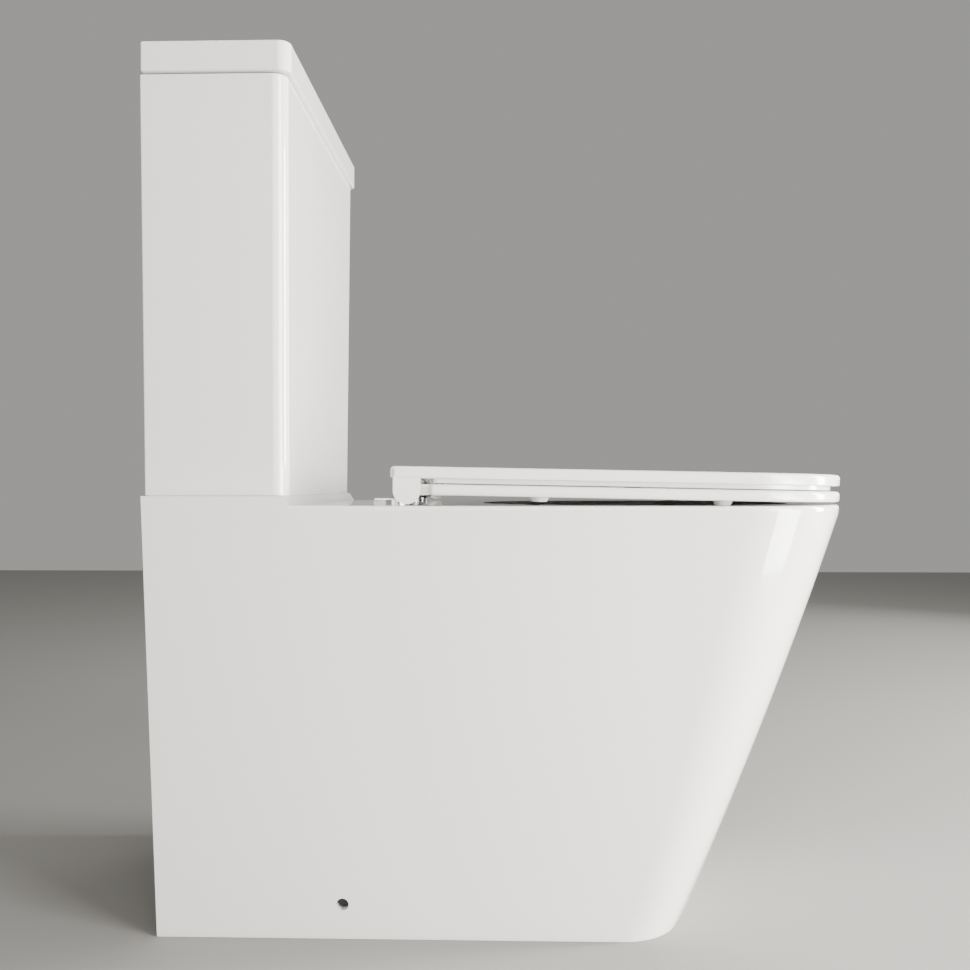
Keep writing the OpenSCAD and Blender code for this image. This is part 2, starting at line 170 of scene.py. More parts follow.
@dataclass(frozen=True)
class Finish:
    """A surface finish, given as a maker would: colour, gloss and how even it is."""

    slot: Slot
    colour: tuple[float, float, float]
    roughness: float = 0.4
    roughness_drift: float = 0.04
    colour_drift: float = 0.02
    bump: float = 0.02
    bump_depth: float = 0.0004
    slow_scale: float = 9.0
    fine_scale: float = 220.0
    fine_share: float = 0.15
    metallic: float = 0.0
    ior: float = 1.5
    coat: float = 0.0
    coat_roughness: float = 0.03
    subsurface: float = 0.0
    transmission: float = 0.0

    def material(self) -> bpy.types.Material:
        """Builds the material, or returns it if it is built."""
        found = bpy.data.materials.get(self.slot.value + "_finish")
        if found:
            return found
        mat = bpy.data.materials.new(self.slot.value + "_finish")
        mat.use_nodes = True
        tree = mat.node_tree
        shader = tree.nodes["Principled BSDF"]
        shader.inputs["Metallic"].default_value = self.metallic
        shader.inputs["IOR"].default_value = self.ior
        shader.inputs["Coat Weight"].default_value = self.coat
        shader.inputs["Coat Roughness"].default_value = self.coat_roughness
        shader.inputs["Transmission Weight"].default_value = self.transmission
        if self.subsurface:
            shader.inputs["Subsurface Weight"].default_value = self.subsurface
            shader.inputs["Subsurface Scale"].default_value = 0.004
        uneven = tree.nodes.new("ShaderNodeGroup")
        uneven.node_tree = uneven_group()
        uneven.inputs["Slow Scale"].default_value = self.slow_scale
        uneven.inputs["Fine Scale"].default_value = self.fine_scale
        uneven.inputs["Fine Share"].default_value = self.fine_share
        self.paint(tree, shader, uneven)
        self.rough(tree, shader, uneven)
        bump = tree.nodes.new("ShaderNodeBump")
        bump.inputs["Strength"].default_value = self.bump
        bump.inputs["Distance"].default_value = self.bump_depth
        tree.links.new(uneven.outputs["Height"], bump.inputs["Height"])
        tree.links.new(bump.outputs["Normal"], shader.inputs["Normal"])
        return mat

    def paint(self, tree: bpy.types.NodeTree, shader: bpy.types.Node, uneven: bpy.types.Node) -> None:
        """Lets the colour drift a little over the surface."""
        mix = tree.nodes.new("ShaderNodeMix")
        mix.data_type = "RGBA"
        mix.inputs["A"].default_value = (*(c * (1 - self.colour_drift) for c in self.colour), 1)
        mix.inputs["B"].default_value = (*(min(1.0, c * (1 + self.colour_drift)) for c in self.colour), 1)
        tree.links.new(uneven.outputs["Mask"], mix.inputs["Factor"])
        tree.links.new(mix.outputs["Result"], shader.inputs["Base Color"])

    def rough(self, tree: bpy.types.NodeTree, shader: bpy.types.Node, uneven: bpy.types.Node) -> None:
        """Lets the roughness drift a little over the surface."""
        spread = tree.nodes.new("ShaderNodeMapRange")
        spread.inputs["From Min"].default_value = 0.3
        spread.inputs["From Max"].default_value = 0.7
        spread.inputs["To Min"].default_value = max(0.0, self.roughness - self.roughness_drift)
        spread.inputs["To Max"].default_value = self.roughness + self.roughness_drift
        tree.links.new(uneven.outputs["Mask"], spread.inputs["Value"])
        tree.links.new(spread.outputs["Result"], shader.inputs["Roughness"])


FINISHES: dict[Slot, Finish] = {
    f.slot: f
    for f in (
        Finish(Slot.CHINA, (0.87, 0.858, 0.83), 0.12, 0.02, 0.006, 0.05, 0.0006, 5.0, 60.0, 0.05,
               ior=1.55, coat=0.6, coat_roughness=0.02, subsurface=0.06),
        Finish(Slot.SEAT, (0.88, 0.873, 0.85), 0.16, 0.02, 0.006, 0.03, 0.0003, 6.0, 300.0, 0.1,
               ior=1.5, coat=0.4, coat_roughness=0.04, subsurface=0.04),
        Finish(Slot.WHITE, (0.78, 0.78, 0.76), 0.42, 0.05, 0.02, 0.05, subsurface=0.05),
        Finish(Slot.RUBBER, (0.022, 0.022, 0.024), 0.68, 0.06, 0.08, 0.2, fine_share=0.5),
        Finish(Slot.SILICONE, (0.42, 0.06, 0.045), 0.45, 0.05, 0.05, 0.08),
        Finish(Slot.CHROME, (0.52, 0.53, 0.54), 0.16, 0.02, 0.01, 0.01, metallic=1.0),
        Finish(Slot.STEEL, (0.55, 0.56, 0.57), 0.34, 0.08, 0.04, 0.06, fine_share=0.4, metallic=1.0),
        Finish(Slot.DAMPER, (0.035, 0.036, 0.038), 0.45, 0.05, 0.05, 0.05),
        Finish(Slot.BLUE, (0.12, 0.30, 0.52), 0.35, 0.04, 0.03, 0.04, subsurface=0.1),
        Finish(Slot.ORANGE, (0.62, 0.20, 0.03), 0.4, 0.04, 0.03, 0.04),
        Finish(Slot.HOSE, (0.55, 0.57, 0.56), 0.3, 0.04, 0.03, 0.03, subsurface=0.1),
        Finish(Slot.BLACK, (0.012, 0.012, 0.013), 0.5, 0.06, 0.05, 0.06, fine_share=0.4),
    )
}


def dress(obj: bpy.types.Object, slot: Slot, body: str, *nodes: str) -> bpy.types.Object:
    """Gives a finished piece its material, its body and the nodes it stands for.

    Args:
        obj: The piece.
        slot: Its material slot.
        body: The body it rides on.
        nodes: The frame's nodes that it replaces.

    Returns:
        The piece.
    """
    obj.data.materials.clear()
    obj.data.materials.append(FINISHES[slot].material())
    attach(obj, body)
    if nodes:
        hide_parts(*nodes)
    log.info("piece %s: %d faces on %s", obj.name, len(obj.data.polygons), body)
    return obj


# ---------------------------------------------------------------- workbench


def at_wall(d: float) -> float:
    """Turns a distance from the wall in millimetres into Y in metres."""
    return WALL - d * MM


def clear_selection() -> None:
    """Deselects everything, whatever the mode."""
    if bpy.context.object and bpy.context.object.mode != "OBJECT":
        bpy.ops.object.mode_set(mode="OBJECT")
    bpy.ops.object.select_all(action="DESELECT")


def settle(obj: bpy.types.Object, name: str) -> bpy.types.Object:
    """Names a piece and moves its place into its mesh.

    Args:
        obj: The piece.
        name: Its name.

    Returns:
        The piece.
    """
    clear_selection()
    obj.name = obj.data.name = name
    bpy.context.view_layer.objects.active = obj
    obj.select_set(True)
    bpy.ops.object.transform_apply(location=True, rotation=True, scale=True)
    return obj


def block(name: str, low: Sequence[float], high: Sequence[float]) -> bpy.types.Object:
    """A box between two corners in metres.

    Args:
        name: The box's name.
        low: Its least corner.
        high: Its greatest corner.

    Returns:
        The box.
    """
    clear_selection()
    centre = [(a + b) / 2 for a, b in zip(low, high)]
    bpy.ops.mesh.primitive_cube_add(size=1, location=centre)
    obj = bpy.context.object
    obj.scale = [b - a for a, b in zip(low, high)]
    return settle(obj, name)


def wall_block(
    name: str, half: float, d: tuple[float, float], z: tuple[float, float], x: float = 0.0
) -> bpy.types.Object:
    """A box given in millimetres.

    Args:
        name: The box's name.
        half: Half its width.
        d: Its least and greatest distance from the wall.
        z: Its lower and upper height.
        x: Its middle, sideways.

    Returns:
        The box.
    """
    low = (x * MM - half * MM, at_wall(d[1]), z[0] * MM)
    high = (x * MM + half * MM, at_wall(d[0]), z[1] * MM)
    return block(name, low, high)


def rod(
    name: str, start: Sequence[float], end: Sequence[float], radius: float, sides: int = 64
) -> bpy.types.Object:
    """A cylinder between two points.

    Args:
        name: The cylinder's name.
        start: One end, in metres.
        end: The other end, in metres.
        radius: Its radius, in metres.
        sides: How many sides it has.

    Returns:
        The cylinder.
    """
    clear_selection()
    a, b = Vector(start), Vector(end)
    turn = (b - a).to_track_quat("Z", "Y").to_euler()
    bpy.ops.mesh.primitive_cylinder_add(
        vertices=sides, radius=radius, depth=(b - a).length, location=(a + b) / 2, rotation=turn
    )
    return settle(bpy.context.object, name)


def post(name: str, x: float, d: float, z0: float, z1: float, r: float, sides: int = 64) -> bpy.types.Object:
    """An upright cylinder in millimetres."""
    return rod(name, (x * MM, at_wall(d), z0 * MM), (x * MM, at_wall(d), z1 * MM), r * MM, sides)


def skin(name: str, rings: Sequence[Ring], closed: bool = False) -> bpy.types.Object:
    """A surface through rings of equally many points, capped at both ends or joined end to end.

    Args:
        name: The piece's name.
        rings: The rings, in order along the surface.
        closed: Whether the last ring joins the first, with no caps.

    Returns:
        The piece.
    """
    n, m = len(rings[0]), len(rings)
    verts = [p for r in rings for p in r]
    last = m if closed else m - 1
    faces: list[tuple[int, ...]] = [
        (k * n + i, k * n + (i + 1) % n, (k + 1) % m * n + (i + 1) % n, (k + 1) % m * n + i)
        for k in range(last)
        for i in range(n)
    ]
    if not closed:
        faces += [tuple(reversed(range(n))), tuple((m - 1) * n + i for i in range(n))]
    mesh = bpy.data.meshes.new(name)
    mesh.from_pydata(verts, [], faces)
    mesh.update()
    obj = bpy.data.objects.new(name, mesh)
    bpy.context.scene.collection.objects.link(obj)
    clear_selection()
    bpy.context.view_layer.objects.active = obj
    obj.select_set(True)
    bpy.ops.object.mode_set(mode="EDIT")
    bpy.ops.mesh.select_all(action="SELECT")
    bpy.ops.mesh.normals_make_consistent(inside=False)
    bpy.ops.object.mode_set(mode="OBJECT")
    return obj


def combine(obj: bpy.types.Object, tool: bpy.types.Object, how: Join) -> bpy.types.Object:
    """Adds or cuts a tool, which is then removed.

    Args:
        obj: The piece.
        tool: The other solid.
        how: Whether the tool is added or cut.

    Returns:
        The piece.
    """
    mod = obj.modifiers.new("combine", "BOOLEAN")
    mod.operation = how.value
    mod.solver = "EXACT"
    mod.object = tool
    clear_selection()
    bpy.context.view_layer.objects.active = obj
    obj.select_set(True)
    bpy.ops.object.modifier_apply(modifier=mod.name)
    bpy.data.objects.remove(tool, do_unlink=True)
    return obj


def cut(obj: bpy.types.Object, *tools: bpy.types.Object) -> bpy.types.Object:
    """Cuts tools from a piece, one after another."""
    for tool in tools:
        combine(obj, tool, Join.CUT)
    return obj


def add(obj: bpy.types.Object, *tools: bpy.types.Object) -> bpy.types.Object:
    """Unites tools with a piece, one after another."""
    for tool in tools:
        combine(obj, tool, Join.ADD)
    return obj


def smooth(obj: bpy.types.Object, degrees: float = 32.0) -> bpy.types.Object:
    """Shades a piece smooth but for its sharp edges, with normals led by the large faces.

    Args:
        obj: The piece.
        degrees: The angle past which an edge is sharp.

    Returns:
        The piece.
    """
    clear_selection()
    bpy.context.view_layer.objects.active = obj
    obj.select_set(True)
    bpy.ops.object.shade_smooth_by_angle(angle=math.radians(degrees))
    mod = obj.modifiers.new("even_normals", "WEIGHTED_NORMAL")
    mod.keep_sharp = True
    bpy.ops.object.modifier_apply(modifier=mod.name)
    return obj


def pick(obj: bpy.types.Object, kind: Pick, test: Test) -> int:
    """Enters edit mode and selects edges or faces by place and direction.

    Args:
        obj: The piece.
        kind: Whether edges or faces are selected.
        test: Gets the centre, and the direction of an edge or the normal of a face.

    Returns:
        How many were selected.
    """
    clear_selection()
    bpy.context.view_layer.objects.active = obj
    obj.select_set(True)
    bpy.ops.object.mode_set(mode="EDIT")
    bpy.ops.mesh.select_mode(type=kind.value)
    bpy.ops.mesh.select_all(action="DESELECT")
    bpy.ops.object.mode_set(mode="OBJECT")
    mesh, count = obj.data, 0
    for item in mesh.edges if kind is Pick.EDGE else mesh.polygons:
        if kind is Pick.EDGE:
            a, b = (mesh.vertices[i].co for i in item.vertices)
            chosen = test((a + b) / 2, (b - a).normalized())
        else:
            chosen = test(item.center, item.normal)
        item.select = bool(chosen)
        count += bool(chosen)
    bpy.ops.object.mode_set(mode="EDIT")
    return count


def bevel(obj: bpy.types.Object, width: float, segments: int, test: Test) -> bpy.types.Object:
    """Rounds the chosen edges.

    Args:
        obj: The piece.
        width: The bevel's width in millimetres.
        segments: How many facets it has.
        test: Gets an edge's centre and direction.

    Returns:
        The piece.
    """
    if pick(obj, Pick.EDGE, test):
        bpy.ops.mesh.bevel(offset=width * MM, segments=segments, profile=0.5, clamp_overlap=True)
    bpy.ops.object.mode_set(mode="OBJECT")
    return obj


def taper(obj: bpy.types.Object, side: int, factor: tuple[float, float], about_y: float = 0.0) -> None:
    """Scales a piece's upper or lower face.

    Args:
        obj: The piece.
        side: 1 for the upper face, -1 for the lower one.
        factor: Scales across and along the depth.
        about_y: The Y that stays where it is.
    """
    if pick(obj, Pick.FACE, lambda c, n: n.z * side > 0.9):
        bpy.ops.transform.resize(value=(*factor, 1), center_override=(0, about_y, 0))
    bpy.ops.object.mode_set(mode="OBJECT")


def spans(points: Sequence, steps: int) -> Iterator[tuple]:
    """Steps evenly along a curve through points.

    Args:
        points: The points that the curve passes through.
        steps: How many steps each span between two of them has.

    Yields:
        The four points about a place on the curve, and how far along the span it lies.
    """
    last = len(points) - 1
    for i in range(last):
        for s in range(steps):
            yield points[max(i - 1, 0)], points[i], points[i + 1], points[min(i + 2, last)], s / steps


def spline(a: Value, b: Value, c: Value, d: Value, t: float) -> Value:
    """The smooth curve between b and c, led by their neighbours a and d, at t from 0 to 1."""
    return 0.5 * (2 * b + (c - a) * t + (2 * a - 5 * b + 4 * c - d) * t * t + (3 * b - a - 3 * c + d) * t**3)


# ---------------------------------------------------------------- outlines


@dataclass(frozen=True)
class DShape:
    """A D in plan, in millimetres: straight back and sides, corner arcs and a flat front arc."""

    half: float
    corner: float
    front: float
    tip: float
    back: float = 0.0
    back_corner: float = 4.0

    def inset(self, e: float, back: float | None = None) -> "DShape":
        """The same D, smaller all round by e."""
        return DShape(self.half - e, self.corner - e, self.front - e, self.tip - e,
                      self.back + e if back is None else back, max(self.back_corner - e, 0.6))

    def half_outline(self) -> list[tuple[float, float]]:
        """Half of the outline, from the middle of the back to short of the tip.

        Returns:
            Points as (x, distance from the wall).
        """
        al = math.asin((self.half - self.corner) / (self.front - self.corner))
        centre = self.tip - self.front + (self.front - self.corner) * math.cos(al)
        c = self.back_corner
        quarter = [math.pi / 2 * i / 4 for i in range(5)]
        out = [(min(self.half * i / 6, self.half - c - 0.5), self.back) for i in range(6)]
        out += [(self.half - c + c * math.sin(t), self.back + c - c * math.cos(t)) for t in quarter]
        side0 = self.back + c
        out += [(self.half, side0 + (centre - side0) * i / 16) for i in range(1, 16)]
        sweep = math.pi / 2 - al
        out += [(self.half - self.corner + self.corner * math.cos(sweep * i / 26),
                 centre + self.corner * math.sin(sweep * i / 26)) for i in range(27)]
        out += [(self.front * math.cos(sweep + al * i / 14),
                 self.tip - self.front + self.front * math.sin(sweep + al * i / 14)) for i in range(1, 14)]
        return out

    def ring(self, z: float) -> Ring:
        """The outline as a ring of points.

        Args:
            z: The ring's height in millimetres.

        Returns:
            The ring, in metres.
        """
        side = self.half_outline()[1:]
        pts = [(0.0, self.back), *((-x, d) for x, d in side), (0.0, self.tip), *reversed(side)]
        return [Vector((x * MM, at_wall(d), z * MM)) for x, d in pts]


def oval(like: Ring, middle: float, length: float, width: float, z: float, square: float = 2.2) -> Ring:
    """An oval whose points lie in the same directions from its middle as another ring's.

    Args:
        like: The ring to follow.
        middle: The oval's middle, as a distance from the wall.
        length: Half its length.
        width: Half its width.
        z: Its height.
        square: 2 for an ellipse, more for a squarer one.

    Returns:
        The ring, in metres.
    """
    out = []
    for p in like:
        x, y = p.x / MM, (p.y - at_wall(middle)) / MM
        size = (abs(x / width) ** square + abs(y / length) ** square) ** (1 / square)
        out.append(Vector((x / size * MM, at_wall(middle) + y / size * MM, z * MM)))
    return out


# ---------------------------------------------------------------- pan


@dataclass
class Pan:
    """The pan: skirt, rim, bowl, trap, spigot and flush duct, and the raised cistern seat."""

    rim_z: float = 401.5
    plinth_z: float = 410.0
    plinth_front: float = 128.0
    foot_half: float = 141.5
    rim_half: float = 183.5
    china: float = 11.0
    under_z: float = 386.0
    spigot_z: float = 185.0
    spigot_d: float = 73.0
    trap_r: float = 36.0
    mouth: tuple[float, float, float] = (455, 155, 140)
    # Height, middle from the wall, half length and half width of the bowl, from the rim down
    bowl: tuple[tuple[float, ...], ...] = (
        (385, 454, 154, 139), (340, 446, 144, 129), (300, 430, 124, 112), (260, 410, 99, 90),
        (220, 390, 74, 68), (180, 374, 56, 53), (130, 362, 45, 43), (90, 358, 36, 35), (74, 357, 22, 22),
    )
    bowl_wall: float = 10.0
    sump_wall: float = 8.0
    # Distance from the wall and height of the trap's centre line, from the bowl to the spigot
    trap: tuple[tuple[float, float], ...] = (
        (348, 108), (300, 108), (275, 120), (256, 148), (243, 185), (226, 218),
        (198, 236), (170, 226), (148, 204), (128, 190), (108, 185.5),
    )

    def outline(self, z: float, e: float = 0.0) -> DShape:
        """The skirt's plan.

        Args:
            z: The height in millimetres.
            e: How much smaller the plan is all round.

        Returns:
            The plan.
        """
        t = z / self.rim_z
        tip = min(508 + 0.4162 * z - 0.00012 * z * z, 653.5)
        half = self.foot_half + (self.rim_half - self.foot_half) * t
        return DShape(half - e, 58 + 52 * t - e, 245 + 155 * t - e, tip - e, 0.0, 0.8)

    def bowl_rings(self, grow: float, lip: bool) -> list[Ring]:
        """The bowl's rings from the rim down.

        Args:
            grow: How much wider the rings are, for the bowl's outer face.
            lip: Whether the rounded lip up to the rim is in it.

        Returns:
            The rings, smoothed between the stated ones.
        """
        like = self.outline(self.rim_z).ring(self.rim_z)
        rows = [list(map(float, r)) for r in self.bowl]
        fine = [[spline(*four, t) for four in zip(a, b, c, d)] for a, b, c, d, t in spans(rows, 4)]
        fine.append(rows[-1])
        drop = self.sump_wall if grow else 0.0
        out = [oval(like, d, length + grow, width + grow, z - (drop if z < 100 else 0))
               for z, d, length, width in fine]
        z, d, length, width = rows[-1]
        out += [oval(like, d, (length + grow) * q, (width + grow) * q, z - drop - 4 + 4 * q * q)
                for q in (0.7, 0.4, 0.15)]
        if lip:
            edge = [(4.0, 0.0), (2.0, 0.35), (0.8, 1.2), (0.2, 2.6), (0.0, 4.5)]
            d, length, width = self.mouth
            out = [oval(like, d, length + e, width + e, self.rim_z - dz) for e, dz in edge] + out
        return out

    def bowl_void(self) -> bpy.types.Object:
        """The room inside the bowl."""
        return skin("void", self.bowl_rings(0.0, False))

    def nut_room(self) -> bpy.types.Object:
        """The room under the cistern seat for the nuts."""
        return wall_block("nut_room", 165, (-2, 116), (380, 397))

    def shell(self) -> bpy.types.Object:
        """The skirt, rim and bowl as one closed wall."""
        inner = [self.outline(z, self.china).inset(0, self.china).ring(z) for z in (0, 130, 260, 360, 378)]
        inner += [self.outline(self.under_z, self.china + 5).inset(0, self.china + 5).ring(self.under_z)]
        outer = [self.outline(z, e).ring(z) for z, e in ((0, 1.0), (0.3, 0.4), (1.0, 0.1), (4, 0))]
        outer += [self.outline(z).ring(z) for z in range(20, 390, 20)]
        top = ((392, 0.0), (397.5, 0.0), (399.2, 0.35), (400.5, 1.1), (401.2, 2.2), (401.5, 3.6))
        outer += [self.outline(z, e).ring(z) for z, e in top]
        under = list(reversed(self.bowl_rings(self.bowl_wall, False)[2:]))
        return skin("pan", under + list(reversed(inner)) + outer + self.bowl_rings(0.0, True))

    def sweep(self, name: str, r: float, last: int) -> bpy.types.Object:
        """A round tube along the trap's centre line.

        Args:
            name: The tube's name.
            r: Its radius in millimetres.
            last: How many of the line's points it follows.

        Returns:
            The tube.
        """
        pts = [Vector((0, at_wall(d), z * MM)) for d, z in self.trap[:last]]
        fine = [spline(*place) for place in spans(pts, 3)]
        fine.append(pts[-1])
        rings = []
        for i, p in enumerate(fine):
            way = (fine[min(i + 1, len(fine) - 1)] - fine[max(i - 1, 0)]).normalized()
            across = way.cross(Vector((1, 0, 0)))
            rings.append([p + r * MM * (math.cos(u) * Vector((1, 0, 0)) + math.sin(u) * across)
                          for u in (2 * math.pi * (j + 0.5) / 48 for j in range(48))])
        return skin(name, rings)

    def outlet(self, name: str, near: float, far: float, r: float) -> bpy.types.Object:
        """A cylinder on the outlet's centre line, in millimetres from the wall."""
        start, end = ((0, at_wall(d), self.spigot_z * MM) for d in (near, far))
        return rod(name, start, end, r * MM, 96)

    def holes(self) -> list[bpy.types.Object]:
        """The deck's and skirt's drilled holes.

        Returns:
            One cutting tool for each hole.
        """
        out = [post("h", 0, FIX.valve_d, 390, 402, 38), post("h", 0, FIX.valve_d, 401.9, 412, 46)]
        for s in (-1, 1):
            side = [(s * x, at_wall(FIX.side_d), FIX.side_z * MM) for x in (0.10, 0.16)]
            out += [
                post("h", s * FIX.bolt_x, FIX.valve_d, 380, 412, FIX.bolt_r),
                post("h", s * FIX.fill_x, FIX.valve_d, 380, 412, 22),
                post("h", s * FIX.hinge_x, FIX.hinge_d, 380, 412, FIX.hinge_r),
                rod("h", *side, FIX.side_r * MM, 48),
            ]
        return out

    def plinth(self) -> bpy.types.Object:
        """The raised seat under the cistern, with a sloped front.

        Returns:
            The piece.
        """
        low, high, front, reach = 385.0, self.plinth_z, self.plinth_front, self.plinth_front + 5
        foot, top = (self.outline(z).half + 0.04 for z in (low, high))
        obj = wall_block("pan_cistern_seat", foot, (0.0, reach), (low, high))
        taper(obj, 1, (top / foot, 1))
        wedge_top = 430
        wedge = wall_block("wedge", 250, (reach, front + 40), (self.rim_z, wedge_top))
        pick(wedge, Pick.EDGE, lambda c, v: abs(v.x) > 0.9 and c.z > 0.42 and c.y > at_wall(front + 10))
        lean = 5 * (wedge_top - self.rim_z) / (high - self.rim_z) * MM
        bpy.ops.transform.translate(value=(0, lean, 0))
        bpy.ops.object.mode_set(mode="OBJECT")
        cut(obj, wedge)
        bevel(obj, 0.8, 3, lambda c, v: abs(v.z) > 0.9 and c.y > at_wall(1))
        top_edge, step = (high - 0.5) * MM, (self.rim_z + 0.1) * MM
        bevel(obj, 2.2, 5,
              lambda c, v: c.z > top_edge or (c.z > step and abs(c.x) > 0.17 and c.y < at_wall(front)))
        cut(obj, self.nut_room(), *self.holes())
        return smooth(obj)

    def build(self) -> None:
        """Builds the pan's pieces and sets them on the fixed body."""
        obj = self.shell()
        trap = self.sweep("trap", self.trap_r + 9, len(self.trap) - 1)
        void = self.bowl_void()
        add(trap, self.outlet("s", self.spigot_d, 113.5, 51), self.outlet("s", 113, 143, 57))
        cut(trap, void)
        duct = wall_block("duct", 52, (22, 302), (306, 390))
        bevel(duct, 6, 4, lambda c, v: c.z < 0.31 or abs(v.z) > 0.9)
        cut(duct, self.bowl_void())
        add(obj, duct, trap)
        open_back = self.outline(376, self.china).half
        back = wall_block("b", open_back, (-4, 13), (-2, 374))
        taper(back, -1, (self.outline(0, self.china).half / open_back, 1))
        cut(
            obj, back, self.nut_room(), wall_block("b", 42, (32, 114), (318, 396)),
            wall_block("b", 42, (110, 286), (318, 387)), wall_block("b", 34, (280, 322), (320, 350)),
            self.sweep("b", self.trap_r, len(self.trap)), self.outlet("b", self.spigot_d - 1, 126, 40),
            *self.holes(),
        )
        smooth(obj)
        dress(obj, Slot.CHINA, "fixed", "pan")
        dress(self.plinth(), Slot.CHINA, "fixed", "pan")


# ---------------------------------------------------------------- cistern


@dataclass
class Cistern:
    """The hollow cistern, wider at the top than at the bottom."""

    foot_half: float = 173.0
    top_half: float = 186.0
    foot_front: float = 128.5
    top_front: float = 130.5
    foot_z: float = 410.0
    top_z: float = 784.3
    floor_z: float = 422.0
    wall: float = 9.0

    def build(self) -> None:
        """Builds the cistern on the fixed body."""
        obj = wall_block("cistern", self.foot_half, (0, self.foot_front), (self.foot_z, self.top_z))
        taper(obj, 1, (self.top_half / self.foot_half, self.top_front / self.foot_front), WALL)
        front = at_wall(60)
        bevel(obj, 13, 12, lambda c, v: abs(v.z) > 0.9 and c.y < front)
        bevel(obj, 1.5, 3, lambda c, v: abs(v.z) > 0.9 and c.y > front)
        bevel(obj, 1.2, 4, lambda c, v: abs(c.z - self.top_z * MM) < 1e-4)
        bevel(obj, 4, 6, lambda c, v: abs(c.z - self.foot_z * MM) < 1e-4)
        void = wall_block("void", self.foot_half - self.wall, (self.wall, self.foot_front - self.wall),
                          (self.floor_z, self.top_z + 5))
        taper(void, 1, ((self.top_half - self.wall) / (self.foot_half - self.wall), 1))
        bevel(void, 9, 6, lambda c, v: abs(v.z) > 0.9)
        bevel(void, 7, 5, lambda c, v: abs(c.z - self.floor_z * MM) < 1e-4)
        cut(obj, void)
        mouth, half_depth = (self.top_z - 0.1) * MM, 0.0555
        bevel(obj, 1.2, 3,
              lambda c, v: c.z > mouth and abs(c.x) < 0.178 and abs(c.y - at_wall(63.5)) < half_depth)
        for x, r in ((0, 31), (-FIX.bolt_x, FIX.bolt_r), (FIX.bolt_x, FIX.bolt_r), (FIX.fill_x, 11.5)):
            cut(obj, post("h", x, FIX.valve_d, 400, 430, r))
        smooth(obj)
        dress(obj, Slot.CHINA, "fixed", "cistern")


@dataclass
class CisternLid:
    """The lift-off lid with its locating lip and button hole."""

    half: float = 190.0
    back: float = 2.0
    front: float = 134.4
    low: float = 785.3
    high: float = 812.0
    button_r: float = 26.0

    def build(self) -> None:
        """Builds the lid on its own body."""
        obj = wall_block("cistern_lid", self.half, (self.back, self.front), (self.low, self.high))
        middle = at_wall(60)
        bevel(obj, 11, 12, lambda c, v: abs(v.z) > 0.9 and c.y < middle)
        bevel(obj, 1.6, 3, lambda c, v: abs(v.z) > 0.9 and c.y > middle)
        bevel(obj, 3.2, 6, lambda c, v: abs(c.z - self.high * MM) < 1e-4)
        bevel(obj, 1.4, 4, lambda c, v: abs(c.z - self.low * MM) < 1e-4)
        lip = wall_block("lip", 173, (15, 115), (self.low - 7, self.low + 2))
        bevel(lip, 5, 5, lambda c, v: abs(v.z) > 0.9)
        pocket = wall_block("pocket", 166, (22, 108), (self.low - 8, 800))
        bevel(pocket, 5, 5, lambda c, v: abs(v.z) > 0.9)
        bevel(pocket, 3, 3, lambda c, v: abs(c.z - 0.8) < 1e-4)
        cut(add(obj, lip), pocket)
        cut(obj, post("h", 0, FIX.valve_d, 790, 820, self.button_r, 96))
        smooth(obj)
        dress(obj, Slot.CHINA, "tank_lid", "cistern_lid")


# ---------------------------------------------------------------- seat


